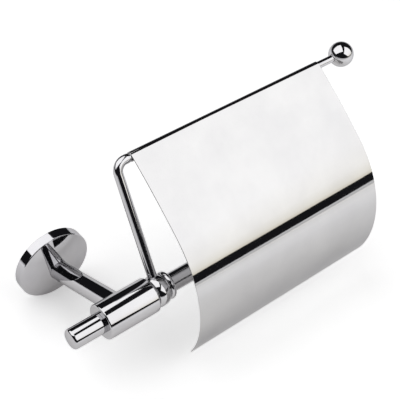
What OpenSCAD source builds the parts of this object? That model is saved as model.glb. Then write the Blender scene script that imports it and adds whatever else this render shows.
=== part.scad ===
// Wall-mounted toilet paper holder with a hinged cover.
// A round rose screws over a wall plate, and a straight arm rises from it to a cross barrel.
// The barrel carries the roll bar. A collar on the bar holds a bent wire bracket, and the
// sheet cover is rolled round the bracket's rod, which is its hinge.
// Frame: +X along the roll bar, -Y away from the wall, +Z up.
// Origin: centre of the wall plate's back face, on the wall.

/* [Wall rose and plate] */
// Outer diameter of the rose
rose_d = 50; // [46:0.5:62]
// Height of the rose's straight side
rose_side_h = 6.6; // [6:0.1:9]
// Height that the dome adds at the middle
rose_dome_h = 5.1; // [4:0.1:7]
// Wall thickness of the rose
rose_wall = 2; // [1.6:0.1:2.2]
// Rounding of the rose's front edge
rose_edge_r = 0.8; // [0.4:0.1:1.5]
// Thickness of the wall plate
plate_t = 2.5; // [2:0.1:3]
// Height of the plate's rim, which the rose slips over
plate_rim_h = 5; // [4.9:0.1:5.2]
// Thickness of the plate's rim
plate_rim_t = 1.8; // [1.2:0.1:2]
// Diameter of the window in the middle of the plate
plate_window_d = 18; // [17:0.5:19]
// Distance between the two wall screw holes
screw_spacing = 28; // [27:0.5:30]
// Diameter of each wall screw hole
screw_hole_d = 4.5; // [3.5:0.1:5]

/* [Arm] */
// Diameter of the arm
arm_d = 12.8; // [10.6:0.1:15.6]
// Distance of the roll bar's axis from the wall
arm_reach = 79.5; // [65:0.5:100]
// Height of the roll bar's axis above the rose's centre
arm_rise = 30.6; // [20:0.2:37]
// Diameter of the screw that holds the arm on the rose
arm_screw_d = 5; // [4:0.1:5.4]
// Diameter of that screw's head
arm_screw_head_d = 8.5; // [8:0.1:9]
// Height of that screw's head
arm_screw_head_h = 2.7; // [2.4:0.1:2.8]
// Length of that screw's thread inside the arm
arm_screw_grip = 11; // [8:0.5:20]
// Thickness of the spring washer under its head
spring_washer_t = 1; // [0.8:0.1:1.2]
// Thickness of the wedge washer on the arm's axis
wedge_t = 2.6; // [2.5:0.1:2.9]
// Diameter of the wedge washer
wedge_d = 10; // [9.5:0.1:10.4]

/* [Barrel and end cap] */
// Diameter of the cross barrel
barrel_d = 22.4; // [19:0.1:27]
// Length of the barrel to the left of the arm's axis
barrel_left = 17; // [13:0.5:24]
// Length of the barrel to the right of the arm's axis
barrel_right = 18.2; // [13:0.1:26]
// Rounding of the barrel's edges
barrel_edge_r = 0.9; // [0.3:0.1:1.5]
// Diameter of the end cap
cap_d = 12.8; // [11:0.1:15]
// Length of the end cap
cap_l = 22; // [17:0.1:28]
// Rounding of the end cap's free end
cap_edge_r = 1.8; // [0.6:0.1:2.5]
// Height of the end cap's slightly domed end
cap_dome_h = 0.7; // [0.3:0.1:1.2]
// Diameter of the tie stud through the barrel
tie_d = 6; // [5:0.1:7.2]
// Diameter of the stud between the arm and the barrel
arm_stud_d = 6; // [5:0.1:6.5]
// Depth of a stud's thread in the arm, in the cap and in the bar's insert
stud_grip = 10; // [8:0.5:12]
// Depth of the arm stud's thread in the barrel
barrel_grip = 5.6; // [4:0.1:5.8]

/* [Roll bar] */
// Outer diameter of the roll bar
bar_d = 11.8; // [9.8:0.1:14.4]
// Wall thickness of the roll bar's tube
bar_wall = 1.2; // [0.8:0.1:1.3]
// Length of the roll bar beyond the lock ring
bar_l = 135; // [110:1:145]
// Length of the end plug's head
plug_head_l = 3; // [2:0.1:6]
// Length of the end plug's spigot inside the tube
plug_spigot_l = 12; // [8:0.5:20]

/* [Collar and rings] */
// Width of the spacer ring beside the barrel
spacer_w = 1.3; // [0.8:0.1:2]
// Outer diameter of the spacer ring
spacer_d = 17.4; // [15:0.1:18.5]
// Width of the collar that holds the bracket
collar_w = 8; // [7.4:0.1:10]
// Diameter of the collar at its middle
collar_d = 20; // [17.6:0.1:24]
// How far the collar's profile bulges from its ends to its middle
collar_bulge = 1.1; // [0.6:0.1:1.4]
// Width of the lock ring's neck
neck_w = 1.1; // [0.6:0.1:2]
// Diameter of the lock ring's neck
neck_d = 15.2; // [14.4:0.1:16]
// Width of the lock ring's round bead
lock_ring_w = 3.8; // [3:0.1:4.6]
// Diameter of the lock ring's round bead
lock_ring_d = 17.8; // [17:0.1:20]
// Diameter of the collar's set screw
collar_screw_d = 4; // [3:0.1:5]
// How far the collar's set screw stands out of the collar
collar_screw_proud = 0.3; // [0:0.1:0.8]

/* [Wire bracket] */
// Diameter of the bracket's leg
leg_d = 5.8; // [4.9:0.1:7]
// Distance from the roll bar's axis to the hinge rod's axis
leg_l = 81.3; // [72:0.1:98]
// Angle by which the leg leans back towards the wall
leg_lean = 32.7; // [27:0.1:36]
// Radius of the bend's centre line
bend_r = 6.5; // [5:0.1:7.4]
// Diameter of the turned hinge rod
rod_d = 4.8; // [4:0.1:5.7]
// Length of the full-size wire between the bend and the hinge rod
rod_shoulder_l = 2.4; // [1:0.1:4]
// Distance from the cover's right edge to the ball's neck
rod_bare_l = 13.5; // [8:0.1:20]
// Diameter of the thread at the rod's end
rod_thread_d = 4; // [3:0.1:3.9]
// Length of the thread at the rod's end
rod_thread_l = 8; // [6:0.1:9]
// Diameter of the ball
ball_d = 16.5; // [13.6:0.1:20]
// Diameter of the ball's short neck
ball_neck_d = 5.9; // [5.4:0.1:7]
// Length of the ball's short neck, to the ball's surface
ball_neck_l = 0.7; // [0.3:0.1:2]

/* [Cover] */
// Width of the cover along the roll bar
cover_w = 148.5; // [125:0.5:180]
// Thickness of the cover's sheet
sheet_t = 0.6; // [0.5:0.1:1]
// Gap between the bracket and the cover's left edge
cover_gap = 1.2; // [0.5:0.1:3]
// Slope of the cover where it leaves the hinge, below the horizontal
cover_slope = 31; // [24:0.5:38]
// Radius of the cover's slightly crowned top
cover_crown_r = 480; // [300:10:900]
// Length of the cover's top
cover_top_l = 54; // [46:0.5:64]
// Radius of the cover's curved front
cover_front_r = 70.5; // [59:0.5:85]
// Angle of the cover's curved front
cover_front_a = 75; // [66:1:95]
// Angle of the rolled hinge round the rod
curl_a = 295; // [240:5:310]

/* [Fits] */
// Radial gap of a threaded fit
thread_gap = 0.03; // [0.02:0.01:0.06]
// Radial gap of a hole that a screw or stud passes through
pass_gap = 0.2; // [0.1:0.05:0.3]
// Radial gap of a part that slides on another when it is fitted
slide_gap = 0.05; // [0.02:0.01:0.1]
// Radial gap of the cover's hinge
hinge_gap = 0.05; // [0.03:0.01:0.09]
// Space left at the bottom of a blind hole
blind_gap = 0.5; // [0.3:0.1:1]
// Radial gap between the rose and the plate's rim
rose_gap = 0.1; // [0.05:0.01:0.2]

/* [Hidden] */
$fn = 96;

// How far a cutter runs past the face that it opens
past = 1;
// The same where the face slopes across the cutter
past_slope = 3;

// Rose, its dome a cap of a large ball
rose_r = rose_d / 2;
rose_h = rose_side_h + rose_dome_h;
dome_r = (rose_r * rose_r + rose_dome_h * rose_dome_h) / (2 * rose_dome_h);
dome_z = rose_h - dome_r;
dome_fn = 360;
// the edge's round is tangent to the side and to the dome
edge_x = rose_r - rose_edge_r;
edge_z = dome_z + sqrt(pow(dome_r - rose_edge_r, 2) - edge_x * edge_x);
dome_end_x = edge_x * dome_r / (dome_r - rose_edge_r);
rim_r = rose_r - rose_wall - rose_gap;
rose_screw_d = 3;
rose_screw_l = 4;
rose_screw_sunk = 0.2;
// the screw sits this far above the middle of the plate's rim
rose_screw_rise = 0.7;
rose_screw_z = plate_rim_h / 2 + rose_screw_rise;
rose_socket_d = 1.73;

// Arm: its axis runs from the dome's top to the roll bar's axis
arm_l = norm([arm_reach - rose_h, arm_rise]);
arm_tilt = atan2(arm_rise, arm_reach - rose_h);
arm_end = arm_l - barrel_d / 2;
wedge_seat = rose_wall / cos(arm_tilt) + wedge_t;
// the washer shows this far all round the head
washer_over = 0.3;
washer_d = arm_screw_head_d + 2 * washer_over;
arm_socket_d = 3.46;
arm_socket_depth = 1.8;
// the arm's stock starts this far inside the dome, and the shank's this far inside its head
arm_stock = 5;
head_lap = 0.5;

// Stack along the roll bar
barrel_x0 = -barrel_left;
barrel_x1 = barrel_right;
collar_x0 = barrel_x1 + spacer_w;
collar_mid = collar_x0 + collar_w / 2;
lock_x0 = collar_x0 + collar_w;
lock_x1 = lock_x0 + neck_w + lock_ring_w;
bar_x1 = lock_x1 + bar_l;
bar_ri = bar_d / 2 - bar_wall;
// the insert is this much longer than the stud's grip in it
insert_over = 6;
insert_l = stud_grip + insert_over;
bulge_r = (pow(collar_w / 2, 2) + pow(collar_bulge, 2)) / (2 * collar_bulge);
collar_socket_d = 2.31;
// part of a set screw's length that its socket takes
socket_part = 1 / 3;

// Bracket, along the leg
leg_r = leg_d / 2;
// the leg stops this far short of the bar, so the set screw does the clamping
leg_foot_gap = 0.4;
leg_foot = bar_d / 2 + leg_foot_gap;
rod_x0 = collar_mid + bend_r + rod_shoulder_l;
cover_x0 = rod_x0 + cover_gap;
cover_x1 = cover_x0 + cover_w;
rod_x1 = cover_x1 + rod_bare_l;
ball_x = rod_x1 + ball_neck_l + sqrt(pow(ball_d / 2, 2) - pow(ball_neck_d / 2, 2));

// Cover, in the plane across the rod: u away from the wall, v up
curl_ri = rod_d / 2 + hinge_gap;
curl_ro = curl_ri + sheet_t;
top_a = 90 - cover_slope;
crown_a = cover_top_l / cover_crown_r * 180 / PI;
crown_c = (curl_ro - cover_crown_r) * dir(top_a);
front_top_a = top_a - crown_a;
front_c = crown_c + (cover_crown_r - cover_front_r) * dir(front_top_a);
crown_steps = 8;
front_steps = 32;
curl_steps = 60;
// stock inside the rolled hinge, which its round bore takes away
bore_stock = 0.2;

// Unit vector at angle a
function dir(a) = [cos(a), sin(a)];

// The rolled hinge's line at radius r, from its free lip to the cover's top
function curl_line(r) = [for (i = [curl_steps:-1:0]) r * dir(top_a + i * curl_a / curl_steps)];

// The cover's line at depth below its outer face, from beside the hinge to its lower edge
function cover_line(depth) = concat(
  [for (i = [1:crown_steps]) crown_c + (cover_crown_r - depth) * dir(top_a - i * crown_a / crown_steps)],
  [for (i = [1:front_steps])
    front_c + (cover_front_r - depth) * dir(front_top_a - i * cover_front_a / front_steps)]
);

function reversed(list) = [for (i = [len(list) - 1:-1:0]) list[i]];

// Children are drawn with +Z pointing away from the wall
module off_wall() rotate([90, 0, 0]) children();

// Children are drawn with +Z along the arm, from the top of the dome
module along_arm() off_wall() translate([0, 0, rose_h]) rotate([-arm_tilt, 0, 0]) children();

// Children are drawn with +Z along the roll bar, at the given distance from the arm
module along_bar(x = 0) translate([x, -arm_reach, arm_rise]) rotate([0, 90, 0]) children();

// Children are drawn with +Z along the leg, and +X along the roll bar
module along_leg() translate([collar_mid, -arm_reach, arm_rise]) rotate([-leg_lean, 0, 0]) children();

// A turned rod along +Z with both ends rounded
module turned(d, l, edge) rotate_extrude() {
  square([d / 2 - edge, l]);
  translate([0, edge]) square([d / 2, l - 2 * edge]);
  for (z = [edge, l - edge]) translate([d / 2 - edge, z]) circle(edge);
}

// A blind or through hole along +Z
module hole(d, from, to) translate([0, 0, from]) cylinder(d = d, h = to - from);

// A hexagon socket along +Z, from its open end downwards
module hex_socket(d, depth) translate([0, 0, -depth]) cylinder(d = d, h = depth + past, $fn = 6);

// A headless screw of length l, whose socket end is at the top
module set_screw(d, l, socket_d) difference() {
  cylinder(d = d, h = l);
  translate([0, 0, l]) hex_socket(socket_d, l * socket_part);
}

// Axis of the rose's set screw, in the frame of off_wall()
module at_rose_screw() translate([0, 0, rose_screw_z]) rotate([90, 0, 0]) children();

// The ball that the dome is a cap of, made smaller by inset
module dome_ball(inset = 0) off_wall() translate([0, 0, dome_z]) sphere(dome_r - inset, $fn = dome_fn);

module wall_plate() color("silver") off_wall() difference() {
  union() {
    cylinder(r = rim_r, h = plate_t);
    difference() {
      cylinder(r = rim_r, h = plate_rim_h);
      hole(2 * (rim_r - plate_rim_t), plate_t, plate_rim_h + past);
    }
  }
  hole(plate_window_d, -past, plate_t + past);
  for (side = [-1, 1]) translate([side * screw_spacing / 2, 0, 0])
    hole(screw_hole_d, -past, plate_t + past);
  at_rose_screw() hole(rose_screw_d + 2 * pass_gap, rim_r - plate_rim_t - past, rim_r + past);
}

module rose() color("gainsboro") difference() {
  off_wall() rotate_extrude() {
    intersection() {
      square([dome_end_x, rose_h]);
      translate([0, dome_z]) circle(dome_r, $fn = dome_fn);
    }
    square([rose_r, edge_z]);
    translate([edge_x, edge_z]) circle(rose_edge_r);
  }
  intersection() {
    off_wall() hole(2 * (rose_r - rose_wall), -past, rose_h);
    dome_ball(rose_wall);
  }
  off_wall() at_rose_screw() hole(rose_screw_d + 2 * thread_gap, rim_r - past, rose_r + past);
  along_arm() hole(arm_screw_d + 2 * pass_gap, -rose_h, past_slope);
}

module rose_set_screw() color("dimgray") off_wall() at_rose_screw()
  translate([0, 0, rose_r - rose_screw_sunk - rose_screw_l])
    set_screw(rose_screw_d, rose_screw_l, rose_socket_d);

module wedge_washer() color("silver") difference() {
  intersection() {
    along_arm() hole(wedge_d, -wedge_seat, past_slope);
    dome_ball(rose_wall);
  }
  along_arm() hole(arm_screw_d + 2 * pass_gap, -wedge_seat - past, past_slope + past);
}

module spring_washer() color("dimgray") along_arm() difference() {
  hole(washer_d, -wedge_seat - spring_washer_t, -wedge_seat);
  hole(arm_screw_d + 2 * pass_gap, -wedge_seat - spring_washer_t - past, -wedge_seat + past);
}

module arm_screw() color("dimgray") along_arm() {
  head_top = -wedge_seat - spring_washer_t;
  difference() {
    union() {
      hole(arm_screw_head_d, head_top - arm_screw_head_h, head_top);
      hole(arm_screw_d, head_top - head_lap, arm_screw_grip);
    }
    translate([0, 0, head_top - arm_screw_head_h]) rotate([180, 0, 0])
      hex_socket(arm_socket_d, arm_socket_depth);
  }
}

module arm() color("gainsboro") difference() {
  along_arm() hole(arm_d, -arm_stock, arm_l);
  dome_ball();
  along_bar(barrel_x0) hole(barrel_d, -past, barrel_x1 - barrel_x0 + past);
  along_arm() {
    hole(arm_screw_d + 2 * thread_gap, -arm_stock, arm_screw_grip + blind_gap);
    hole(arm_stud_d + 2 * thread_gap, arm_end - stud_grip - blind_gap, arm_l);
  }
}

module arm_stud() color("dimgray") along_arm() hole(arm_stud_d, arm_end - stud_grip, arm_end + barrel_grip);

module barrel() color("gainsboro") difference() {
  along_bar(barrel_x0) turned(barrel_d, barrel_x1 - barrel_x0, barrel_edge_r);
  along_bar(barrel_x0) hole(tie_d + 2 * pass_gap, -past, barrel_x1 - barrel_x0 + past);
  along_arm() hole(arm_stud_d + 2 * thread_gap, arm_end - past_slope, arm_end + barrel_grip + blind_gap);
}

module end_cap() color("gainsboro") along_bar(barrel_x0) rotate([0, 180, 0]) difference() {
  end_r = cap_d / 2 - cap_edge_r;
  round_r = (end_r * end_r + cap_dome_h * cap_dome_h) / (2 * cap_dome_h);
  rotate_extrude() {
    square([cap_d / 2, cap_l - cap_edge_r - cap_dome_h]);
    translate([end_r, cap_l - cap_edge_r - cap_dome_h]) circle(cap_edge_r);
    intersection() {
      square([end_r, cap_l]);
      translate([0, cap_l - round_r]) circle(round_r);
    }
  }
  hole(tie_d + 2 * thread_gap, -past, stud_grip + blind_gap);
}

module tie_stud() color("dimgray") along_bar() hole(tie_d, barrel_x0 - stud_grip, barrel_x1 + stud_grip);

module spacer_ring() color("silver") along_bar(barrel_x1) difference() {
  turned(spacer_d, spacer_w, spacer_w / 3); // each edge takes a third of the width
  hole(bar_d + 2 * slide_gap, -past, spacer_w + past);
}

module collar() color("gainsboro") difference() {
  along_bar(collar_x0) difference() {
    rotate_extrude() intersection() {
      square([collar_d / 2, collar_w]);
      translate([collar_d / 2 - bulge_r, collar_w / 2]) circle(bulge_r);
    }
    hole(bar_d + 2 * slide_gap, -past, collar_w + past);
  }
  along_leg() {
    hole(leg_d + 2 * slide_gap, 0, collar_d);
    hole(collar_screw_d + 2 * thread_gap, -collar_d, 0);
  }
}

module collar_set_screw() color("dimgray") along_leg() rotate([180, 0, 0])
  translate([0, 0, bar_d / 2 + slide_gap])
    set_screw(collar_screw_d, (collar_d - bar_d) / 2 + collar_screw_proud - slide_gap, collar_socket_d);

module lock_ring() color("gainsboro") along_bar(lock_x0) difference() {
  rotate_extrude() {
    square([neck_d / 2, neck_w + lock_ring_w]);
    translate([(lock_ring_d - lock_ring_w) / 2, neck_w + lock_ring_w / 2]) circle(lock_ring_w / 2);
  }
  hole(bar_d + 2 * slide_gap, -past, neck_w + lock_ring_w + past);
}

module roll_bar() color("gainsboro") along_bar(barrel_x1) difference() {
  cylinder(d = bar_d, h = bar_x1 - barrel_x1);
  hole(2 * bar_ri, -past, bar_x1 - barrel_x1 + past);
}

module bar_insert() color("silver") along_bar(barrel_x1) difference() {
  cylinder(r = bar_ri - slide_gap, h = insert_l);
  hole(tie_d + 2 * thread_gap, -past, insert_l + past);
}

module bar_end_plug() color("gainsboro") along_bar(bar_x1) {
  hole(2 * (bar_ri - slide_gap), -plug_spigot_l, plug_head_l / 2);
  rotate_extrude() {
    square([bar_d / 2 - plug_head_l / 2, plug_head_l]);
    square([bar_d / 2, plug_head_l / 2]);
    translate([bar_d / 2 - plug_head_l / 2, plug_head_l / 2]) circle(plug_head_l / 2);
  }
}

module wire_bracket() color("gainsboro") along_leg() {
  hole(leg_d, leg_foot, leg_l - bend_r);
  translate([bend_r, 0, leg_l - bend_r]) rotate([90, 0, 0]) rotate([0, 0, 90])
    rotate_extrude(angle = 90) translate([bend_r, 0]) circle(leg_r);
  translate([bend_r, 0, leg_l]) rotate([0, 90, 0]) {
    hole(leg_d, 0, rod_shoulder_l);
    hole(rod_d, rod_shoulder_l, rod_x1 - collar_mid - bend_r);
    hole(rod_thread_d, rod_shoulder_l, rod_x1 - collar_mid - bend_r + rod_thread_l);
  }
}

module ball_finial() color("gainsboro") along_leg() translate([-collar_mid, 0, leg_l]) rotate([0, 90, 0])
  difference() {
    union() {
      translate([0, 0, ball_x]) sphere(d = ball_d);
      hole(ball_neck_d, rod_x1, ball_x);
    }
    hole(rod_thread_d + 2 * thread_gap, rod_x1 - past, rod_x1 + rod_thread_l + blind_gap);
  }

module cover() color("whitesmoke") along_leg() translate([cover_x1 - collar_mid, 0, leg_l])
  rotate([leg_lean, 0, 0]) rotate([90, 0, -90]) difference() {
    linear_extrude(cover_w) polygon(concat(
      curl_line(curl_ro),
      cover_line(0),
      reversed(cover_line(sheet_t)),
      reversed(curl_line(curl_ri - bore_stock))
    ));
    hole(2 * curl_ri, -past, cover_w + past);
  }

wall_plate();
rose();
rose_set_screw();
wedge_washer();
spring_washer();
arm_screw();
arm();
arm_stud();
barrel();
end_cap();
tie_stud();
spacer_ring();
collar();
collar_set_screw();
lock_ring();
roll_bar();
bar_insert();
bar_end_plug();
wire_bracket();
ball_finial();
cover();
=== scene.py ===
import math
import bpy
import bmesh
from mathutils import Euler, Matrix, Vector


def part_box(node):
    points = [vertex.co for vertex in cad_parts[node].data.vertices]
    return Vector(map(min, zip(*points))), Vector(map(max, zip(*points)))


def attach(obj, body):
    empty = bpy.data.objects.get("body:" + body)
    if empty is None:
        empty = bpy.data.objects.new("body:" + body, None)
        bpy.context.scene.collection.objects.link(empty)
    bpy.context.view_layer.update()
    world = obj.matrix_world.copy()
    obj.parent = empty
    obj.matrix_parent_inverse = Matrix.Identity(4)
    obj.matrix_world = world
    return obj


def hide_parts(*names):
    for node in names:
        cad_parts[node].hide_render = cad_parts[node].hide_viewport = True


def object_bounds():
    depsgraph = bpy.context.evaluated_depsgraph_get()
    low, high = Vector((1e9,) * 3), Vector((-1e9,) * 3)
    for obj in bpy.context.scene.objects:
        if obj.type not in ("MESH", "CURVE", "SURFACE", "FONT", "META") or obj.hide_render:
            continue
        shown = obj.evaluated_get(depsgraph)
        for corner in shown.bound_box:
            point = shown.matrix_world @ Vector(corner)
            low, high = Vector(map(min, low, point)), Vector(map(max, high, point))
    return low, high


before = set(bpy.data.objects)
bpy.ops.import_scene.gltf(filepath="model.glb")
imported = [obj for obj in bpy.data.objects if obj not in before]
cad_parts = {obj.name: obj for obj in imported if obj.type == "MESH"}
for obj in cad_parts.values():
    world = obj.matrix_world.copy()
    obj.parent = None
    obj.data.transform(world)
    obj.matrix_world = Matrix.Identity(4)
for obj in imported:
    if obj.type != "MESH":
        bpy.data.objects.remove(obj)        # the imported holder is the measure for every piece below
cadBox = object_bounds()

# lengths are in millimetres until a mesh is made
mm = 0.001


def cornersOf(node):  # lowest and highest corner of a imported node
    low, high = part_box(node)
    return Vector(low) / mm, Vector(high) / mm


def aroundAxis(radius, turn, along):  # a point beside the +Z axis; turn is a share of the full circle
    return Vector((radius * math.cos(math.tau * turn), radius * math.sin(math.tau * turn), along))


# where things are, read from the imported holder
barLow, barHigh = cornersOf("roll_bar")
barAxis = (barLow + barHigh) / 2                       # y and z of the roll bar's axis
ballLow, ballHigh = cornersOf("ball_finial")
rodAxis = (ballLow + ballHigh) / 2                     # y and z of the hinge rod's axis
roseLow, roseHigh = cornersOf("rose")
coverLow, coverHigh = cornersOf("cover")
collarLow, collarHigh = cornersOf("collar")
domeTop = Vector((0, roseLow.y, 0))
armLine = Vector((0, barAxis.y, barAxis.z)) - domeTop
legLine = Vector((0, rodAxis.y - barAxis.y, rodAxis.z - barAxis.z))
legFoot = Vector(((collarLow.x + collarHigh.x) / 2, barAxis.y, barAxis.z))


def axisFrame(origin, along, side=(1, 0, 0)):  # a turned part's own frame, +Z along its axis
    z = Vector(along).normalized()
    x = Vector(side) - z * z.dot(Vector(side))
    x.normalize()
    place = Matrix((x, z.cross(x), z)).transposed().to_4x4()
    place.translation = Vector(origin)
    return place


offWall = axisFrame((0, 0, 0), (0, -1, 0))
alongArm = axisFrame(domeTop, armLine)
alongLeg = axisFrame(legFoot, legLine)


def alongBar(x):
    return axisFrame((x, barAxis.y, barAxis.z), (1, 0, 0), (0, 0, 1))


class Wire:  # a socket that takes part in ordinary sums
    def __init__(self, look, socket):
        self.look = look
        self.socket = socket

    def sum(self, operation, first, second):
        return self.look.node("ShaderNodeMath", {"operation": operation}, {0: first, 1: second})

    def __add__(self, other):
        return self.sum("ADD", self, other)

    def __radd__(self, other):
        return self.sum("ADD", other, self)

    def __sub__(self, other):
        return self.sum("SUBTRACT", self, other)

    def __rsub__(self, other):
        return self.sum("SUBTRACT", other, self)

    def __mul__(self, other):
        return self.sum("MULTIPLY", self, other)

    def __rmul__(self, other):
        return self.sum("MULTIPLY", other, self)


class Look:  # a node tree under construction
    def __init__(self, tree):
        self.tree = tree
        tree.nodes.clear()

    def node(self, kind, settings=None, sockets=None, output=0):
        made = self.tree.nodes.new(kind)
        for key, value in (settings or {}).items():
            if key == "stops":
                ramp = made.color_ramp
                while len(ramp.elements) < len(value):
                    ramp.elements.new(1.0)
                for element, (position, shade) in zip(ramp.elements, value):
                    element.position = position
                    element.color = (*shade, 1.0)
            else:
                setattr(made, key, value)
        for key, value in (sockets or {}).items():
            entry = made.inputs[key]
            if isinstance(value, Wire):
                self.tree.links.new(value.socket, entry)
            elif entry.type == "RGBA" and len(value) == 3:
                entry.default_value = (*value, 1.0)
            else:
                entry.default_value = value
        return Wire(self, made.outputs[output]) if len(made.outputs) else None

    def spot(self, stretch=(1, 1, 1), shift=(0, 0, 0)):  # place on the piece, stretched
        here = self.node("ShaderNodeTexCoord", output="Object")
        scaled = self.node("ShaderNodeVectorMath", {"operation": "MULTIPLY"}, {0: here, 1: stretch})
        return self.node("ShaderNodeVectorMath", {"operation": "ADD"}, {0: scaled, 1: shift})

    def noise(self, place, scale, detail=3.0, roughness=0.5, distortion=0.0):
        return self.node("ShaderNodeTexNoise", {"noise_dimensions": "3D"},
                         {"Vector": place, "Scale": scale, "Detail": detail,
                          "Roughness": roughness, "Distortion": distortion})

    def ramp(self, factor, stops):
        return self.node("ShaderNodeValToRGB", {"stops": stops}, {"Fac": factor})

    def limits(self, value, low, high, toLow=0.0, toHigh=1.0):
        return self.node("ShaderNodeMapRange", {"clamp": True},
                         {"Value": value, "From Min": low, "From Max": high,
                          "To Min": toLow, "To Max": toHigh})

    def blendTints(self, factor, first, second):  # 6, 7 and 2 are the Mix node's colour sockets
        return self.node("ShaderNodeMix", {"data_type": "RGBA"},
                         {0: factor, 6: first, 7: second}, output=2)

    def bump(self, height, strength, distance, under=None):
        sockets = {"Height": height, "Strength": strength, "Distance": distance}
        if under is not None:
            sockets["Normal"] = under
        return self.node("ShaderNodeBump", {}, sockets)

    def finishMetal(self, tint, roughness, normal, extra=None):
        sockets = {"Base Color": tint, "Metallic": 1.0, "Roughness": roughness, "Normal": normal}
        sockets.update(extra or {})
        shader = self.node("ShaderNodeBsdfPrincipled", {}, sockets)
        self.node("ShaderNodeOutputMaterial", {}, {"Surface": shader})


def newLook(name):
    material = bpy.data.materials.new(name)
    material.use_nodes = True
    return material, Look(material.node_tree)


chromeLooks = {  # two tints that drift into each other, gloss, the buffing grain's stretch, relief
    "chromeTurned": {"deep": (0.505, 0.500, 0.515), "bright": (0.555, 0.551, 0.560), "gloss": 0.030,
                     "grain": (9000, 500, 500), "grainRelief": 0.05, "ripple": 0.05},
    "chromeRose": {"deep": (0.500, 0.496, 0.518), "bright": (0.550, 0.546, 0.560), "gloss": 0.034,
                   "grain": (700, 6000, 700), "grainRelief": 0.05, "ripple": 0.07},
    "chromeWire": {"deep": (0.495, 0.491, 0.508), "bright": (0.550, 0.546, 0.560), "gloss": 0.040,
                   "grain": (1200, 6500, 6500), "grainRelief": 0.07, "ripple": 0.12},
    "chromeSheet": {"deep": (0.525, 0.521, 0.526), "bright": (0.565, 0.561, 0.562), "gloss": 0.026,
                    "grain": (90, 5200, 5200), "grainRelief": 0.04, "ripple": 0.16},
}
chromeWear = {"cloudScale": 34.0, "filmScale": 58.0, "film": 0.030, "lines": 0.028,
              "speckScale": 1900.0, "specks": 0.10, "rippleScale": 85.0,
              "rippleHeight": 0.00006, "grainHeight": 0.000010}
chromeRim = (0.67, 0.67, 0.68)  # holds the shine back where a surface turns away


def makeChrome(name):  # each pattern is shifted, so that no two line up
    values = chromeLooks[name]
    material, look = newLook(name)
    cloud = look.noise(look.spot(), chromeWear["cloudScale"], 4.0, 0.55)
    tint = look.blendTints(look.limits(cloud, 0.32, 0.68), values["deep"], values["bright"])
    # wiped film, fine buffing lines and a few specks change the gloss a little
    smear = look.noise(look.spot((1, 1, 1.6), (3, 1, 7)), chromeWear["filmScale"], 6.0, 0.62, 0.4)
    film = look.limits(smear, 0.46, 0.74) * chromeWear["film"]
    lines = look.noise(look.spot(values["grain"], (11, 5, 2)), 1.0, 3.0, 0.6)
    buffing = look.limits(lines, 0.45, 0.75) * chromeWear["lines"]
    dust = look.noise(look.spot(shift=(7, 7, 1)), chromeWear["speckScale"], 2.0)
    specks = look.limits(dust, 0.70, 0.80)
    roughness = values["gloss"] + film + buffing + specks * chromeWear["specks"]
    ripple = look.noise(look.spot(shift=(2, 9, 4)), chromeWear["rippleScale"], 2.0, 0.4)
    wide = look.bump(ripple, values["ripple"], chromeWear["rippleHeight"])
    fine = look.bump(lines * 0.7 + specks * 0.3, values["grainRelief"], chromeWear["grainHeight"], wide)
    look.finishMetal(tint, roughness, fine, {"Specular Tint": chromeRim})
    return material


zincLook = {"blue": (0.50, 0.52, 0.56), "straw": (0.60, 0.57, 0.48), "pale": (0.63, 0.63, 0.63),
            "dull": (0.40, 0.41, 0.43), "dullShare": 0.35, "cloudScale": 60.0, "speckScale": 900.0,
            "gloss": 0.26, "spread": 0.18, "drift": 0.06, "relief": 0.25, "height": 0.00003}


def makeZinc():
    material, look = newLook("zincPlate")
    broad = look.noise(look.spot(), zincLook["cloudScale"], 3.0, 0.6, 0.8)
    speckle = look.noise(look.spot(shift=(5, 5, 5)), zincLook["speckScale"], 4.0, 0.7)
    tint = look.ramp(broad, [(0.30, zincLook["blue"]), (0.52, zincLook["pale"]), (0.72, zincLook["straw"])])
    dulled = look.limits(speckle, 0.35, 0.7, 0.0, zincLook["dullShare"])
    tint = look.blendTints(dulled, tint, zincLook["dull"])
    drift = look.limits(broad, 0.3, 0.7) * zincLook["drift"]
    roughness = zincLook["gloss"] + speckle * zincLook["spread"] + drift
    look.finishMetal(tint, roughness, look.bump(speckle, zincLook["relief"], zincLook["height"]))
    return material


oxideLook = {"deep": (0.045, 0.045, 0.050), "pale": (0.095, 0.092, 0.090), "worn": (0.34, 0.33, 0.32),
             "wornShare": 0.6, "patchScale": 420.0, "wornScale": 1300.0,
             "gloss": 0.30, "spread": 0.16, "polish": 0.08, "relief": 0.2, "height": 0.00002}


def makeOxide():
    material, look = newLook("blackOxide")
    patch = look.noise(look.spot(), oxideLook["patchScale"], 5.0, 0.65)
    scuffs = look.noise(look.spot(shift=(4, 0, 9)), oxideLook["wornScale"], 3.0, 0.6)
    worn = look.limits(scuffs, 0.60, 0.74)
    tint = look.ramp(patch, [(0.30, oxideLook["deep"]), (0.70, oxideLook["pale"])])
    tint = look.blendTints(worn * oxideLook["wornShare"], tint, oxideLook["worn"])
    roughness = oxideLook["gloss"] + patch * oxideLook["spread"] - worn * oxideLook["polish"]
    look.finishMetal(tint, roughness, look.bump(patch, oxideLook["relief"], oxideLook["height"]))
    return material


steelLook = {"blue": (0.16, 0.17, 0.21), "grey": (0.24, 0.24, 0.25), "straw": (0.33, 0.29, 0.24),
             "temperScale": 240.0, "grain": (2500, 300, 2500),
             "gloss": 0.28, "spread": 0.18, "relief": 0.2, "height": 0.00002}


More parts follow.
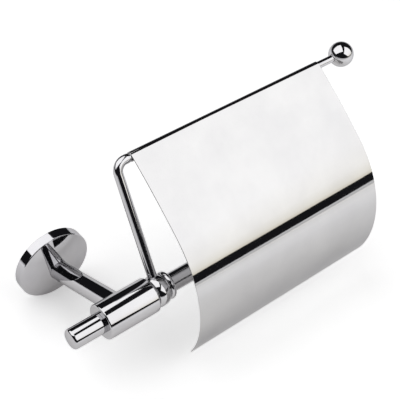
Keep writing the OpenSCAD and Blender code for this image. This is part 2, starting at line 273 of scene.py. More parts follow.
def makeSpringSteel():
    material, look = newLook("springSteel")
    temper = look.noise(look.spot(), steelLook["temperScale"], 4.0, 0.6, 1.2)
    tempers = [(0.30, steelLook["blue"]), (0.50, steelLook["grey"]), (0.72, steelLook["straw"])]
    tint = look.ramp(temper, tempers)
    drawn = look.noise(look.spot(steelLook["grain"]), 1.0, 3.0)
    roughness = steelLook["gloss"] + drawn * steelLook["spread"]
    look.finishMetal(tint, roughness, look.bump(drawn, steelLook["relief"], steelLook["height"]))
    return material


castLook = {"deep": (0.36, 0.37, 0.39), "pale": (0.52, 0.52, 0.53), "stain": (0.30, 0.30, 0.31),
            "stainShare": 0.4, "grainScale": 700.0, "stainScale": 150.0,
            "gloss": 0.42, "spread": 0.2, "relief": 0.35, "height": 0.00004}


def makeCastZinc():
    material, look = newLook("castZinc")
    grains = look.noise(look.spot(), castLook["grainScale"], 5.0, 0.7)
    blotches = look.noise(look.spot(shift=(1, 8, 3)), castLook["stainScale"], 3.0)
    tint = look.ramp(grains, [(0.3, castLook["deep"]), (0.7, castLook["pale"])])
    stained = look.limits(blotches, 0.4, 0.7, 0.0, castLook["stainShare"])
    tint = look.blendTints(stained, tint, castLook["stain"])
    roughness = castLook["gloss"] + grains * castLook["spread"]
    look.finishMetal(tint, roughness, look.bump(grains, castLook["relief"], castLook["height"]))
    return material


finishes = {name: makeChrome(name) for name in chromeLooks}
finishes["zincPlate"] = makeZinc()
finishes["blackOxide"] = makeOxide()
finishes["springSteel"] = makeSpringSteel()
finishes["castZinc"] = makeCastZinc()
print("finishes ready:", ", ".join(finishes))


def arc(centre, radius, start, end, steps):  # points on a flat arc, angles in degrees
    return [(centre[0] + radius * math.cos(math.radians(start + (end - start) * i / steps)),
             centre[1] + radius * math.sin(math.radians(start + (end - start) * i / steps)))
            for i in range(steps + 1)]


def soften(corners, closed=False, steps=6):  # rounds the corners (radius, along, rounding) of a profile
    points = []
    last = len(corners) - 1
    for i, corner in enumerate(corners):
        here = Vector(corner[:2])
        rounding = corner[2] if len(corner) > 2 else 0
        if rounding == 0 or (not closed and i in (0, last)):
            points.append(tuple(here))
            continue
        back = (Vector(corners[i - 1][:2]) - here).normalized()
        ahead = (Vector(corners[0 if i == last else i + 1][:2]) - here).normalized()
        half = back.angle(ahead) / 2
        middle = here + (back + ahead).normalized() * (rounding / math.sin(half))
        reach = rounding / math.tan(half)
        first, final = here + back * reach - middle, here + ahead * reach - middle
        start = math.degrees(math.atan2(first.y, first.x))
        swing = math.degrees(math.atan2(final.y, final.x)) - start
        swing = (swing + 180) % 360 - 180
        points += arc(middle, rounding, start, start + swing, steps)
    return points


def ring(radius, along, steps, sides=0):  # one ring of a turned part; sides=6 makes it a hexagon
    if radius < 1e-6:  # a point on the axis
        return [Vector((0, 0, along))]
    points = []
    for i in range(steps):
        reach = radius
        if sides:
            part = math.tau / sides
            reach = radius * math.cos(part / 2) / math.cos(math.tau * (i / steps) % part - part / 2)
        points.append(aroundAxis(reach, i / steps, along))
    return points


def joinRows(mesh, row, following):  # faces between two closed rows, either of which may be one point
    count = max(len(row), len(following))
    for i in range(count):
        j = (i + 1) % count
        if len(row) == 1:
            mesh.faces.new((row[0], following[i], following[j]))
        elif len(following) == 1:
            mesh.faces.new((row[i], following[0], row[j]))
        else:
            mesh.faces.new((row[i], following[i], following[j], row[j]))


def finished(mesh, name):  # turns every face outwards and hands the shape over
    bmesh.ops.recalc_face_normals(mesh, faces=mesh.faces)
    made = bpy.data.meshes.new(name)
    mesh.to_mesh(made)
    mesh.free()
    return made


def skin(rings, place, looped=False):  # joins rings of points into one closed mesh
    mesh = bmesh.new()
    rows = [[mesh.verts.new(place @ point * mm) for point in row] for row in rings]
    for row, following in zip(rows, rows[1:]):
        joinRows(mesh, row, following)
    if looped:
        joinRows(mesh, rows[-1], rows[0])
    return finished(mesh, "shape")


def turned(profile, place, steps=192, looped=False):  # profile points are (radius, along)
    return skin([ring(point[0], point[1], steps) for point in profile], place, looped)


def intoScene(name, data):
    made = bpy.data.objects.new(name, data)
    bpy.context.scene.collection.objects.link(made)
    return made


def drilled(mesh, cutters):  # takes the cutters' shapes out of a mesh
    body = intoScene("stock", mesh)
    tools = []
    for cutter in cutters:
        tool = intoScene("drill", cutter)
        tools.append(tool)
        cut = body.modifiers.new("hole", "BOOLEAN")
        cut.operation = "DIFFERENCE"
        cut.solver = "EXACT"
        cut.object = tool
    bpy.context.view_layer.update()
    result = bpy.data.meshes.new_from_object(body.evaluated_get(bpy.context.evaluated_depsgraph_get()))
    for spent in [body] + tools:
        shape = spent.data
        bpy.data.objects.remove(spent)
        bpy.data.meshes.remove(shape)
    return result


def bore(radius, start, end, place):  # a drill, made a little longer than the metal where a hole is open
    return turned([(0, start), (radius, start), (radius, end), (0, end)], place, steps=96)


sharpFrom = 32  # an edge is drawn sharp when its faces meet at more degrees than this


def addPiece(name, mesh, finish, nodes, body="frame"):
    mesh.name = name
    mesh.materials.clear()
    mesh.materials.append(finishes[finish])
    mesh.shade_smooth()
    mesh.set_sharp_from_angle(angle=math.radians(sharpFrom))
    piece = intoScene(name, mesh)
    even = piece.modifiers.new("evenNormals", "WEIGHTED_NORMAL")
    even.keep_sharp = True
    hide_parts(*nodes)
    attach(piece, body)
    print("built", name, "with", len(mesh.vertices), "points")


# wall plate
plate = {"thickness": 2.5, "rimWidth": 1.8, "windowRadius": 9, "holeSpacing": 28, "holeRadius": 2.25,
         "rimHoleRadius": 1.7, "rimHoleHeight": 3.2, "pressRound": 0.45, "edgeRound": 0.25}
plateLow, plateHigh = cornersOf("wall_plate")
plateRadius = (plateHigh.x - plateLow.x) / 2
innerRadius = plateRadius - plate["rimWidth"]
plateProfile = soften([
    (plate["windowRadius"], 0, plate["edgeRound"]),
    (plateRadius, 0, plate["pressRound"]),
    (plateRadius, -plateLow.y, plate["edgeRound"]),
    (innerRadius, -plateLow.y, plate["edgeRound"]),
    (innerRadius, plate["thickness"], plate["pressRound"]),
    (plate["windowRadius"], plate["thickness"], plate["edgeRound"]),
], closed=True)
screwHoles = [bore(plate["holeRadius"], -1, plate["thickness"] + 1,
                   axisFrame((side * plate["holeSpacing"] / 2, 0, 0), (0, -1, 0))) for side in (-1, 1)]
rimHole = bore(plate["rimHoleRadius"], innerRadius - 1, plateRadius + 1,
               axisFrame((0, -plate["rimHoleHeight"], 0), (0, 0, -1)))
addPiece("pressedWallPlate", drilled(turned(plateProfile, offWall, looped=True), screwHoles + [rimHole]),
         "zincPlate", ["wall_plate"])

# rose
rose = {"sideHeight": 6.6, "wall": 2.0, "edgeRound": 0.8, "openEdgeRound": 0.2, "domeSteps": 64,
        "grubHoleRadius": 1.53, "grubHeight": 3.2, "armHoleRadius": 2.7}
roseRadius = (roseHigh.x - roseLow.x) / 2
roseHeight = -roseLow.y
domeHeight = roseHeight - rose["sideHeight"]
domeRadius = (roseRadius ** 2 + domeHeight ** 2) / (2 * domeHeight)
domeCentre = roseHeight - domeRadius
edgeX = roseRadius - rose["edgeRound"]
edgeZ = domeCentre + math.sqrt((domeRadius - rose["edgeRound"]) ** 2 - edgeX ** 2)
domeEdge = math.degrees(math.atan2(edgeZ - domeCentre, edgeX))
roofRadius = domeRadius - rose["wall"]
innerSide = roseRadius - rose["wall"]
innerEdge = math.degrees(math.acos(innerSide / roofRadius))
roseProfile = (
    arc((0, domeCentre), domeRadius, 90, domeEdge, rose["domeSteps"])
    + arc((edgeX, edgeZ), rose["edgeRound"], domeEdge, 0, 8)[1:]
    + soften([(roseRadius, edgeZ), (roseRadius, 0, rose["openEdgeRound"]),
              (innerSide, 0, rose["openEdgeRound"]),
              (innerSide, domeCentre + roofRadius * math.sin(math.radians(innerEdge)))])[1:]
    + arc((0, domeCentre), roofRadius, innerEdge, 90, 32)[1:]
)
roseProfile[0] = (0, roseHeight)
roseProfile[-1] = (0, domeCentre + roofRadius)
grubHole = bore(rose["grubHoleRadius"], innerSide - 3, roseRadius + 1,
                axisFrame((0, -rose["grubHeight"], 0), (0, 0, -1)))
armHole = bore(rose["armHoleRadius"], -roseHeight, 3, alongArm)
addPiece("domedRose", drilled(turned(roseProfile, offWall, steps=288), [grubHole, armHole]),
         "chromeRose", ["rose"])

# arm
arm = {"radius": 6.4, "edgeRound": 0.18, "faceRings": (4, 5.4), "screwHoleRadius": 2.53,
       "screwHoleDepth": 11.5, "studHoleRadius": 3.03, "studHoleDepth": 10.5, "rows": 10, "steps": 192}
barrelLow, barrelHigh = cornersOf("barrel")
barrelRadius = (barrelHigh.z - barrelLow.z) / 2
armLength = armLine.length


def domeAlong(x, y):  # where a line beside the arm's axis leaves the dome
    start = alongArm @ Vector((x, y, 0)) - Vector((0, -domeCentre, 0))
    run = (alongArm.to_3x3() @ Vector((0, 0, 1))).normalized()
    half = start.dot(run)
    return -half + math.sqrt(half ** 2 - start.length_squared + domeRadius ** 2)


def barrelAlong(x, y):  # where it meets the barrel; the bar's axis crosses the arm's at its end
    return armLength - math.sqrt(barrelRadius ** 2 - y ** 2)


def copedRing(radius, surface, inward=0):
    points = []
    for i in range(arm["steps"]):
        turn = math.tau * (i / arm["steps"])
        x, y = radius * math.cos(turn), radius * math.sin(turn)
        points.append(Vector((x, y, surface(x, y) + inward)))
    return points


faceRings = [*arm["faceRings"], arm["radius"] - arm["edgeRound"]]
armRings = [ring(0, arm["screwHoleDepth"], 1)]
armRings.append(ring(arm["screwHoleRadius"], arm["screwHoleDepth"], arm["steps"]))
for radius in (arm["screwHoleRadius"], *faceRings):
    armRings.append(copedRing(radius, domeAlong))
startRing = copedRing(arm["radius"], domeAlong, arm["edgeRound"])
endRing = copedRing(arm["radius"], barrelAlong, -arm["edgeRound"])
for i in range(arm["rows"] + 1):
    armRings.append([a.lerp(b, i / arm["rows"]) for a, b in zip(startRing, endRing)])
for radius in (*reversed(faceRings), arm["studHoleRadius"]):
    armRings.append(copedRing(radius, barrelAlong))
armEnd = armLength - barrelRadius
armRings.append(ring(arm["studHoleRadius"], armEnd - arm["studHoleDepth"], arm["steps"]))
armRings.append(ring(0, armEnd - arm["studHoleDepth"], 1))
addPiece("straightArm", skin(armRings, alongArm), "chromeTurned", ["arm"])

# barrel and end cap
barrel = {"edgeRound": 0.9, "boreEdge": 0.2, "tieHoleRadius": 3.2, "studHoleRadius": 3.03,
          "studHoleDepth": 6.1}
barrelLength = barrelHigh.x - barrelLow.x
barrelProfile = soften([
    (barrel["tieHoleRadius"], 0, barrel["boreEdge"]),
    (barrelRadius, 0, barrel["edgeRound"]),
    (barrelRadius, barrelLength, barrel["edgeRound"]),
    (barrel["tieHoleRadius"], barrelLength, barrel["boreEdge"]),
], closed=True, steps=10)
studHole = bore(barrel["studHoleRadius"], armEnd - 3, armEnd + barrel["studHoleDepth"], alongArm)
addPiece("crossBarrel", drilled(turned(barrelProfile, alongBar(barrelLow.x), looped=True), [studHole]),
         "chromeTurned", ["barrel"])

cap = {"endRound": 1.8, "roundSweep": 84, "domeHeight": 0.7, "seatRound": 0.15, "holeRadius": 3.03,
       "holeDepth": 10.5}
capLow, capHigh = cornersOf("end_cap")
capRadius = (capHigh.z - capLow.z) / 2
capLength = capHigh.x - capLow.x
flatRadius = capRadius - cap["endRound"]
capBow = (flatRadius ** 2 + cap["domeHeight"] ** 2) / (2 * cap["domeHeight"])
shoulder = capLength - cap["endRound"] - cap["domeHeight"]
bowEdge = math.degrees(math.acos(flatRadius / capBow))
capProfile = (
    [(0, cap["holeDepth"]), (cap["holeRadius"], cap["holeDepth"]), (cap["holeRadius"], 0)]
    + soften([(cap["holeRadius"], 0), (capRadius, 0, cap["seatRound"]), (capRadius, shoulder)])[1:-1]
    + arc((flatRadius, shoulder), cap["endRound"], 0, cap["roundSweep"], 14)
    + arc((0, capLength - capBow), capBow, bowEdge, 90, 16)[1:]
)
capProfile[-1] = (0, capLength)
addPiece("endCap", turned(capProfile, axisFrame((capHigh.x, barAxis.y, barAxis.z), (-1, 0, 0), (0, 0, 1))),
         "chromeTurned", ["end_cap"])

# rings on the bar
rings = {"fitGap": 0.05, "boreEdge": 0.2, "spacerEdge": 0.1, "spacerRound": 0.42,
         "collarBulge": 1.1, "collarEdge": 0.35, "legHoleRadius": 2.95, "grubHoleRadius": 2.03,
         "neckRadius": 7.6, "neckWidth": 1.1, "neckEdge": 0.12, "beadRadius": 1.9, "beadFrom": -72,
         "lockEdge": 0.1}
tubeRadius = (barHigh.z - barLow.z) / 2
slideRadius = tubeRadius + rings["fitGap"]

spacerLow, spacerHigh = cornersOf("spacer_ring")
spacerRadius = (spacerHigh.z - spacerLow.z) / 2
spacerWidth = spacerHigh.x - spacerLow.x
spacerProfile = soften([
    (slideRadius, 0, rings["spacerEdge"]),
    (spacerRadius, 0, rings["spacerRound"]),
    (spacerRadius, spacerWidth, rings["spacerRound"]),
    (slideRadius, spacerWidth, rings["spacerEdge"]),
], closed=True)
addPiece("spacerRing", turned(spacerProfile, alongBar(spacerLow.x), looped=True),
         "chromeTurned", ["spacer_ring"])

collarWidth = collarHigh.x - collarLow.x
collarRadius = (collarHigh.z - collarLow.z) / 2
bulge = rings["collarBulge"]
bowRadius = ((collarWidth / 2) ** 2 + bulge ** 2) / (2 * bulge)
bowHalf = math.degrees(math.asin((collarWidth / 2 - rings["collarEdge"]) / bowRadius))
collarSide = collarRadius - bulge
collarCorner = [  # from the bore out to the foot of the bulge
    (slideRadius, rings["boreEdge"]),
    (slideRadius + rings["boreEdge"], 0),
    (collarSide - rings["collarEdge"] * 0.9, 0),
    (collarSide - rings["collarEdge"] * 0.25, rings["collarEdge"] * 0.3),
]
collarProfile = (
    collarCorner
    + arc((collarRadius - bowRadius, collarWidth / 2), bowRadius, -bowHalf, bowHalf, 28)
    + [(radius, collarWidth - along) for radius, along in reversed(collarCorner)]
)
legHole = bore(rings["legHoleRadius"], 1, collarRadius + 2, alongLeg)
grubHole = bore(rings["grubHoleRadius"], -collarRadius - 2, -1, alongLeg)
addPiece("clampCollar",
         drilled(turned(collarProfile, alongBar(collarLow.x), steps=240, looped=True), [legHole, grubHole]),
         "chromeTurned", ["collar"])

lockLow, lockHigh = cornersOf("lock_ring")
lockRadius = (lockHigh.z - lockLow.z) / 2
lockWidth = lockHigh.x - lockLow.x
bead = rings["beadRadius"]
lockEdge, neckEdge = rings["lockEdge"], rings["neckEdge"]
lockProfile = (
    [(slideRadius, lockEdge), (slideRadius + lockEdge, 0), (rings["neckRadius"] - neckEdge, 0),
     (rings["neckRadius"], neckEdge), (rings["neckRadius"], rings["neckWidth"])]
    + arc((lockRadius - bead, rings["neckWidth"] + bead), bead, rings["beadFrom"], 90, 24)
    + [(slideRadius + lockEdge, lockWidth), (slideRadius, lockWidth - lockEdge)]
)
addPiece("beadRing", turned(lockProfile, alongBar(lockLow.x), looped=True),
         "chromeTurned", ["lock_ring"])

# roll bar and its plug
tube = {"wall": 1.2, "edge": 0.15, "plugRound": 0.15, "spigotLength": 12, "spigotGap": 0.05,
        "spigotChamfer": 0.6}
tubeBore = tubeRadius - tube["wall"]
tubeLength = barHigh.x - barLow.x
tubeProfile = soften([
    (tubeBore, 0, tube["edge"]), (tubeRadius, 0, tube["edge"]),
    (tubeRadius, tubeLength, tube["edge"]), (tubeBore, tubeLength, tube["edge"]),
], closed=True, steps=3)
addPiece("rollTube", turned(tubeProfile, alongBar(barLow.x), looped=True),
         "chromeTurned", ["roll_bar"])

plugHigh = cornersOf("bar_end_plug")[1]
headLength = plugHigh.x - barHigh.x
spigotRadius = tubeBore - tube["spigotGap"]
plugProfile = soften([
    (0, -tube["spigotLength"]),
    (spigotRadius - tube["spigotChamfer"], -tube["spigotLength"]),
    (spigotRadius, -tube["spigotLength"] + tube["spigotChamfer"]),
    (spigotRadius, 0),
    (tubeRadius, 0, tube["plugRound"]),
    (tubeRadius, headLength, headLength / 2),
    (0, headLength),
], steps=12)
addPiece("tubeEndPlug", turned(plugProfile, alongBar(barHigh.x)), "chromeTurned", ["bar_end_plug"])

# bent bracket: leg, bend and hinge rod in one
bracket = {"legRadius": 2.9, "rodRadius": 2.4, "bendRadius": 6.5, "footGap": 0.4, "footChamfer": 0.3,
           "shoulder": 2.4, "stepRound": 0.25, "stepLip": 0.07,
           "threadRadius": 2.0, "threadLength": 8, "threadPitch": 0.7, "threadDepth": 0.38,
           "steps": 96, "legRows": 12, "bendRows": 40, "rodRows": 24}
rodStart = legFoot.x + bracket["bendRadius"] + bracket["shoulder"]
rodEnd = ballLow.x


def bracketPath():  # (along, across, heading, radius) in the leg's own frame
    wide, slim, bend = bracket["legRadius"], bracket["rodRadius"], bracket["bendRadius"]
    legTop = legLine.length - bend
    foot = tubeRadius + bracket["footGap"]
    chamfer = bracket["footChamfer"]
    path = [(foot, 0, 0, 0), (foot, 0, 0, wide - chamfer), (foot + chamfer, 0, 0, wide)]
    run = legTop - foot - chamfer
    path += [(foot + chamfer + run * i / bracket["legRows"], 0, 0, wide)
             for i in range(1, bracket["legRows"] + 1)]
    for i in range(1, bracket["bendRows"] + 1):
        turn = math.radians(90 * i / bracket["bendRows"])
        path.append((legTop + bend * math.sin(turn), bend * (1 - math.cos(turn)), math.degrees(turn), wide))
    top = legLine.length
    step = bracket["stepRound"]
    across = rodStart - legFoot.x
    path += [(top, across - step, 90, wide), (top, across - bracket["stepLip"], 90, wide - step * 0.3),
             (top, across, 90, wide - step), (top, across, 90, slim)]
    span = rodEnd - rodStart
    path += [(top, across + span * i / bracket["rodRows"], 90, slim)
             for i in range(1, bracket["rodRows"] + 1)]
    return path


threadRows = 8  # rings of points to one pitch of a thread


def threadRings(radius, start, end, pitch, depth, steps):  # a helical ridge that fades at both ends
    rows = []
    count = max(2, int((end - start) / pitch * threadRows))
    for i in range(count + 1):
        along = start + (end - start) * i / count
        fade = min(1, i / threadRows, (count - i) / threadRows)
        row = []
        for k in range(steps):
            phase = ((along - start) / pitch - k / steps) % 1.0
            reach = radius - depth * fade * abs(2 * phase - 1)
            row.append(aroundAxis(reach, k / steps, along))
        rows.append(row)
    return rows


bracketRings = []
for along, across, heading, radius in bracketPath():
    centre = Vector((across, 0, along))
    if radius == 0:
        bracketRings.append([centre])
        continue
    lean = Matrix.Rotation(math.radians(heading), 3, "Y")
    bracketRings.append([lean @ point + centre for point in ring(radius, 0, bracket["steps"])])
rodTurn = Matrix.Rotation(math.radians(90), 3, "Y")
rodTip = Vector((rodEnd - legFoot.x, 0, legLine.length))
for row in threadRings(bracket["threadRadius"], 0, bracket["threadLength"], bracket["threadPitch"],
                       bracket["threadDepth"], bracket["steps"]):
    bracketRings.append([rodTurn @ point + rodTip for point in row])
bracketRings.append([rodTip + Vector((bracket["threadLength"], 0, 0))])
addPiece("bentBracket", skin(bracketRings, alongLeg), "chromeWire", ["wire_bracket"])

# ball end
ball = {"neckRadius": 2.95, "neckEdge": 0.12, "neckLead": 0.4, "holeRadius": 2.03, "holeDepth": 8.5,
        "steps": 64}
ballRadius = (ballHigh.z - ballLow.z) / 2
ballMiddle = ballHigh.x - ballRadius - ballLow.x
neckAngle = 180 - math.degrees(math.asin(ball["neckRadius"] / ballRadius))
ballTurns = [math.radians(neckAngle * (1 - i / ball["steps"])) for i in range(ball["steps"] + 1)]
ballProfile = (
    [(0, ball["holeDepth"]), (ball["holeRadius"], ball["holeDepth"]), (ball["holeRadius"], 0)]
    + soften([(ball["holeRadius"], 0), (ball["neckRadius"], 0, ball["neckEdge"]),
              (ball["neckRadius"], ball["neckLead"])], steps=3)[1:]
    + [(ballRadius * math.sin(turn), ballMiddle + ballRadius * math.cos(turn)) for turn in ballTurns]
)
ballProfile[-1] = (0, ballMiddle + ballRadius)
addPiece("ballEnd", turned(ballProfile, axisFrame((ballLow.x, rodAxis.y, rodAxis.z), (1, 0, 0), (0, 0, 1))),
         "chromeTurned", ["ball_finial"])

# cover: one sheet, rolled round the rod at its back edge
cover = {"sheet": 0.6, "boreRadius": 2.45, "slope": 31, "crownRadius": 480, "topLength": 54,
         "frontRadius": 70.5, "frontAngle": 75, "rollAngle": 295, "edgeRound": 0.22,
         "rollSteps": 120, "crownSteps": 40, "frontSteps": 110, "edgeSteps": 3, "columns": 12}


def coverLine():  # middle of the sheet and its outward direction, from the rolled lip to the lower edge
    outer = cover["boreRadius"] + cover["sheet"]
    half = cover["sheet"] / 2
    topAngle = 90 - cover["slope"]
    crownAngle = math.degrees(cover["topLength"] / cover["crownRadius"])

    def heading(angle):
        return Vector((math.cos(math.radians(angle)), math.sin(math.radians(angle))))

    crownCentre = (outer - cover["crownRadius"]) * heading(topAngle)
    frontTop = topAngle - crownAngle
    frontCentre = crownCentre + (cover["crownRadius"] - cover["frontRadius"]) * heading(frontTop)
    line = []
    for i in range(cover["rollSteps"] + 1):
        angle = topAngle + cover["rollAngle"] * (1 - i / cover["rollSteps"])
        line.append(((outer - half) * heading(angle), heading(angle)))
    for i in range(1, cover["crownSteps"] + 1):
        angle = topAngle - crownAngle * i / cover["crownSteps"]
        line.append((crownCentre + (cover["crownRadius"] - half) * heading(angle), heading(angle)))
    for i in range(1, cover["frontSteps"] + 1):
        angle = frontTop - cover["frontAngle"] * i / cover["frontSteps"]
        line.append((frontCentre + (cover["frontRadius"] - half) * heading(angle), heading(angle)))
    return line


def coverLoop(line, inset):  # closed outline of the sheet, drawn in from its edges by inset
    half = cover["sheet"] / 2 - inset
    rounding = max(cover["edgeRound"] - inset, 0.001)  # never quite sharp, so no two points meet
    ends = []
    for (point, out), (inner, _) in ((line[0], line[1]), (line[-1], line[-2])):
        away = (point - inner).normalized()
        ends.append((point - away * cover["edgeRound"], away, out))
    middle = [(point + out * half, point - out * half) for point, out in line[1:-1]]

    def edge(end, side):
        point, away, out = end
        points = []
        for i in range(cover["edgeSteps"] + 1):
            turn = math.radians(90 * i / cover["edgeSteps"])
            across = half - rounding + rounding * math.cos(turn)
            points.append(point + away * rounding * math.sin(turn) + side * out * across)
        return points

    loop = list(reversed(edge(ends[0], 1))) + [pair[0] for pair in middle] + edge(ends[1], 1)
    loop += list(reversed(edge(ends[1], -1))) + [pair[1] for pair in reversed(middle)] + edge(ends[0], -1)
    return loop


sheetLine = coverLine()
coverPlace = axisFrame((coverLow.x, rodAxis.y, rodAxis.z), (1, 0, 0), (0, -1, 0))
coverWidth = coverHigh.x - coverLow.x
edgeRows = []
for i in range(cover["edgeSteps"] + 1):
    lift = math.radians(90 * (1 - i / cover["edgeSteps"]))
    edgeRows.append((cover["edgeRound"] * (1 - math.sin(lift)), cover["edgeRound"] * (1 - math.cos(lift))))
columns = edgeRows + [(coverWidth * i / cover["columns"], 0) for i in range(1, cover["columns"])]
columns += [(coverWidth - x, inset) for x, inset in reversed(edgeRows)]


def coverMesh():
    mesh = bmesh.new()
    rows = []
    for x, inset in columns:
        # the sheet's line is drawn outwards and up; the second axis of its frame points down
        outline = [Vector((point.x, -point.y, x)) for point in coverLoop(sheetLine, inset)]
        rows.append([mesh.verts.new(coverPlace @ point * mm) for point in outline])
    for row, following in zip(rows, rows[1:]):
        joinRows(mesh, row, following)
    count = len(rows[0])
    for row in (rows[0], rows[-1]):  # the sheet's two side edges are strips between its faces
        for i in range(count // 2 - 1):
            mesh.faces.new((row[i], row[i + 1], row[count - 2 - i], row[count - 1 - i]))
    return finished(mesh, "cover")


addPiece("rolledCover", coverMesh(), "chromeSheet", ["cover"], body="cover")

# screws, studs and washers
socket = {"mouth": 1.08, "point": 0.3, "lead": 0.6}  # shares of the socket's radius, and of the edge


def socketHead(radius, top, socketRadius, depth, steps, edge):  # rings over the edge and down the socket
    return [ring(radius, top - edge, steps), ring(radius - edge, top, steps),
            ring(socketRadius * socket["mouth"], top, steps),
            ring(socketRadius, top - edge * socket["lead"], steps, sides=6),
            ring(socketRadius, top - depth, steps, sides=6),
            ring(0, top - depth - socketRadius * socket["point"], 1)]


def setScrew(screw, length):  # rings of a headless screw; its socket goes a third of the way in
    steps, plainEnd = screw["steps"], screw["plainEnd"]
    rows = [ring(0, 0, 1), ring(screw["radius"] * screw["tipShare"], 0, steps)]
    rows += threadRings(screw["radius"], plainEnd, length - plainEnd, screw["pitch"], screw["depth"], steps)
    return rows + socketHead(screw["radius"], length, screw["socketRadius"], length / 3, steps, screw["edge"])


grub = {"length": 4, "radius": 1.5, "socketRadius": 0.866, "sunk": 0.2, "edge": 0.15, "tipShare": 0.6,
        "plainEnd": 0.3, "pitch": 0.5, "depth": 0.27, "steps": 48}
grubPlace = axisFrame((0, -rose["grubHeight"], -(roseRadius - grub["sunk"] - grub["length"])), (0, 0, -1))
addPiece("roseGrubScrew", skin(setScrew(grub, grub["length"]), grubPlace),
         "blackOxide", ["rose_set_screw"])

clamp = {"radius": 2, "proud": 0.3, "gap": 0.05, "socketRadius": 1.155, "edge": 0.2, "tipShare": 0.6,
         "plainEnd": 0.3, "pitch": 0.7, "depth": 0.38, "steps": 48}
clampLength = collarRadius - tubeRadius + clamp["proud"] - clamp["gap"]
clampPlace = axisFrame(alongLeg @ Vector((0, 0, -(tubeRadius + clamp["gap"]))), -legLine)
addPiece("collarGrubScrew", skin(setScrew(clamp, clampLength), clampPlace),
         "blackOxide", ["collar_set_screw"])

washer = {"thickness": 1, "radius": 4.55, "hole": 2.7, "edgeRound": 0.12, "splitAngle": 14, "slant": 10,
          "steps": 72}
screw = {"roof": 2, "wedge": 2.6, "headRadius": 4.25, "headHeight": 2.7, "headEdge": 0.2, "radius": 2.5,
         "grip": 11, "socketRadius": 1.73, "socketDepth": 1.8, "socketEdge": 0.3,
         "plainTo": 1, "threadFrom": 1.2, "pitch": 0.8, "depth": 0.43, "steps": 96}
armTilt = math.atan2(armLine.z, -armLine.y)
wedgeSeat = screw["roof"] / math.cos(armTilt) + screw["wedge"]
headSeat = -wedgeSeat - washer["thickness"]
screwHead = socketHead(screw["headRadius"], screw["headHeight"] - headSeat, screw["socketRadius"],
                       screw["socketDepth"], screw["steps"], screw["socketEdge"])
screwRows = [[Vector((point.x, point.y, -point.z)) for point in row] for row in reversed(screwHead)]
screwRows += [ring(screw["headRadius"], headSeat - screw["headEdge"], screw["steps"]),
              ring(screw["headRadius"] - screw["headEdge"], headSeat, screw["steps"]),
              ring(screw["radius"], headSeat, screw["steps"]),
              ring(screw["radius"], screw["plainTo"], screw["steps"])]
screwRows += threadRings(screw["radius"], screw["threadFrom"], screw["grip"], screw["pitch"], screw["depth"],
                         screw["steps"])
screwRows.append(ring(0, screw["grip"], 1))
addPiece("armScrew", skin(screwRows, alongArm), "blackOxide", ["arm_screw"])


def splitWasher():  # a flat spring washer with its slanted gap
    corners = [(washer["hole"], headSeat), (washer["radius"], headSeat),
               (washer["radius"], -wedgeSeat), (washer["hole"], -wedgeSeat)]
    section = soften([(*corner, washer["edgeRound"]) for corner in corners], closed=True, steps=3)
    slant = math.radians(washer["slant"])
    mesh = bmesh.new()
    rows = []
    for i in range(washer["steps"] + 1):
        turn = math.radians(washer["splitAngle"] / 2 + (360 - washer["splitAngle"]) * i / washer["steps"])
        row = []
        for reach, along in section:
            lean = turn + slant * (along - headSeat)
            point = Vector((reach * math.cos(lean), reach * math.sin(lean), along))
            row.append(mesh.verts.new(alongArm @ point * mm))
        rows.append(row)
    for row, following in zip(rows, rows[1:]):
        joinRows(mesh, row, following)
    for row in (rows[0], rows[-1]):
        mesh.faces.new(row)
    return finished(mesh, "washer")


addPiece("springWasher", splitWasher(), "springSteel", ["spring_washer"])

stud = {"radius": 3, "tipShare": 0.75, "plainEnd": 0.5, "pitch": 1, "depth": 0.5, "steps": 64,
        "intoArm": 10, "intoBarrel": 5.6}
tieLow, tieHigh = cornersOf("tie_stud")
studPlaces = {
    "armStud": ("arm_stud", alongArm, armEnd - stud["intoArm"], armEnd + stud["intoBarrel"]),
    "tieStud": ("tie_stud", alongBar(0), tieLow.x, tieHigh.x),
}
for name, (node, place, start, end) in studPlaces.items():
    tip, plainEnd = stud["radius"] * stud["tipShare"], stud["plainEnd"]
    rows = [ring(0, start, 1), ring(tip, start, stud["steps"])]
    rows += threadRings(stud["radius"], start + plainEnd, end - plainEnd, stud["pitch"], stud["depth"],
                        stud["steps"])
    rows += [ring(tip, end, stud["steps"]), ring(0, end, 1)]
    addPiece(name, skin(rows, place), "zincPlate", [node])

# the wedge washer and the tube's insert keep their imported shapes
carried = {"wedge_washer": "castZinc", "bar_insert": "zincPlate"}
for node, finish in carried.items():
    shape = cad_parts[node].data
    shape.materials.clear()
    shape.materials.append(finishes[finish])
print("carried over:", ", ".join(carried))

# studio
white = (1.0, 1.0, 1.0)
studio = {
    "floorSize": 40.0, "floorCells": 40, "floorDrop": 0.0004, "floorTint": (0.85, 0.85, 0.852),
    "floorRoughness": 0.85, "floorShine": 0.1, "mottleScale": 14.0, "mottleShade": 0.985,
    "glowReach": 3.0,  # how far out the floor's own glow goes on changing
    # painted light on the floor: the seen glow rises away from the object; the mirrored glow is a painted
    # shade near the object and a ring of painted reflection for the chrome
    "glowSeen": [(0.0, (0.44, 0.44, 0.44)), (0.2, (0.50, 0.50, 0.50)), (0.5, (0.86, 0.86, 0.86)),
                 (1.0, (0.93, 0.93, 0.93))],
    "glowMirrored": [(0.0, (0.29, 0.28, 0.27)), (0.075, (0.33, 0.325, 0.32)), (0.135, (0.52, 0.52, 0.53)),
                     (0.2, (0.56, 0.56, 0.57)), (0.35, (0.37, 0.37, 0.375)), (0.5, (0.46, 0.46, 0.465)),
                     (1.0, (0.84, 0.84, 0.845))],
    "surround": (0.012, 0.012, 0.014), "backdrop": (0.93, 0.93, 0.935),
}
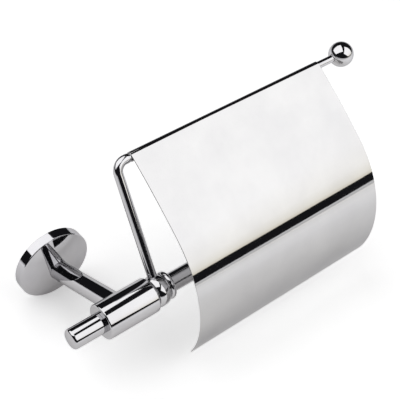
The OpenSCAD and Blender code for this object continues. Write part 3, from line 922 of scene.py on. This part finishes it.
panels = {  # soft boxes: place, turn, size, brightness of the face, and how it fades along one side
    "frontPanel": {"at": (0.689, -0.873, 0.595), "turn": (-30.8, -6.3, -123.4), "size": (1.296, 1.404),
                   "face": 1.62, "fadeAlong": "Y",
                   "fade": [(0.0, white), (0.35, white), (0.70, (0.93, 0.92, 0.89)),
                            (0.90, (0.81, 0.79, 0.72)), (1.0, (0.66, 0.62, 0.52))]},
    "backPanel": {"at": (-0.179, 0.263, 0.576), "turn": (-17.2, -1.2, 61.9), "size": (0.854, 1.004),
                  "face": 1.62, "fadeAlong": "X", "fade": [(0.0, white), (1.0, white)]},
}


def makeFloor():
    mesh = bmesh.new()
    cells = studio["floorCells"]
    bmesh.ops.create_grid(mesh, x_segments=cells, y_segments=cells, size=studio["floorSize"] / 2)
    shape = bpy.data.meshes.new("paleFloor")
    mesh.to_mesh(shape)
    mesh.free()
    floor = intoScene("paleFloor", shape)
    floor.location = (0, 0, cadBox[0][2] - studio["floorDrop"])
    material, look = newLook("paleFloor")
    mottle = look.noise(look.spot(), studio["mottleScale"], 3.0, 0.5)
    shaded = tuple(studio["mottleShade"] * part for part in studio["floorTint"])
    tint = look.blendTints(look.limits(mottle, 0.3, 0.7), studio["floorTint"], shaded)
    # the floor's glow is painted light: the glow that is seen fades out differently from the one the chrome
    # mirrors. The seen glow brightens away from the object, where the soft boxes' light falls off. The
    # mirrored glow is darker close to the object, a painted shade, with a brighter ring of painted reflection
    # further out.
    place = look.node("ShaderNodeTexCoord", output="Object")
    away = look.node("ShaderNodeVectorMath", {"operation": "LENGTH"}, {0: place}, output="Value")
    outward = look.limits(away, 0.0, studio["glowReach"])
    glow = look.blendTints(look.node("ShaderNodeLightPath", output="Is Camera Ray"),
                           look.ramp(outward, studio["glowMirrored"]), look.ramp(outward, studio["glowSeen"]))
    shader = look.node("ShaderNodeBsdfPrincipled", {}, {
        "Base Color": tint, "Roughness": studio["floorRoughness"], "Specular IOR Level": studio["floorShine"],
        "Emission Color": glow, "Emission Strength": 1.0})
    look.node("ShaderNodeOutputMaterial", {}, {"Surface": shader})
    shape.materials.append(material)


def makeSurround():  # dark all round for the chrome, pale behind the object
    world = bpy.data.worlds.new("studioSurround")
    world.use_nodes = True
    look = Look(world.node_tree)
    seen = look.node("ShaderNodeLightPath", output="Is Camera Ray")
    tint = look.blendTints(seen, studio["surround"], studio["backdrop"])
    shade = look.node("ShaderNodeBackground", {}, {"Color": tint, "Strength": 1.0})
    look.node("ShaderNodeOutputWorld", {}, {"Surface": shade})
    bpy.context.scene.world = world


def makePanels():
    for name, panel in panels.items():
        light = bpy.data.lights.new(name, "AREA")
        light.shape = "RECTANGLE"
        light.size, light.size_y = panel["size"]
        light.energy = panel["face"] * math.pi * light.size * light.size_y
        light.use_nodes = True
        look = Look(light.node_tree)
        across = look.node("ShaderNodeNewGeometry", output="Parametric")
        fall = look.node("ShaderNodeSeparateXYZ", {}, {0: across}, output=panel["fadeAlong"])
        face = look.node("ShaderNodeEmission", {}, {"Color": look.ramp(fall, panel["fade"]), "Strength": 1.0})
        look.node("ShaderNodeOutputLight", {}, {"Surface": face})
        lamp = intoScene(name, light)
        lamp.location = panel["at"]
        lamp.rotation_euler = Euler([math.radians(part) for part in panel["turn"]])
        lamp.visible_camera = False


view = {"at": (-0.234500, -0.373847, 0.508715), "turn": (44.2745, -4.5580, -39.3917), "lens": 93.97,
        "sensor": 36.0, "nearest": 0.01, "farthest": 50}


def makeCamera():
    data = bpy.data.cameras.new("studioCamera")
    data.lens = view["lens"]
    data.sensor_width = view["sensor"]
    data.clip_start = view["nearest"]
    data.clip_end = view["farthest"]
    camera = intoScene("studioCamera", data)
    camera.location = view["at"]
    camera.rotation_euler = Euler([math.radians(part) for part in view["turn"]])
    bpy.context.scene.camera = camera


makeFloor()
makeSurround()
makePanels()
makeCamera()
bpy.context.scene.view_settings.view_transform = "Standard"
print("studio ready")
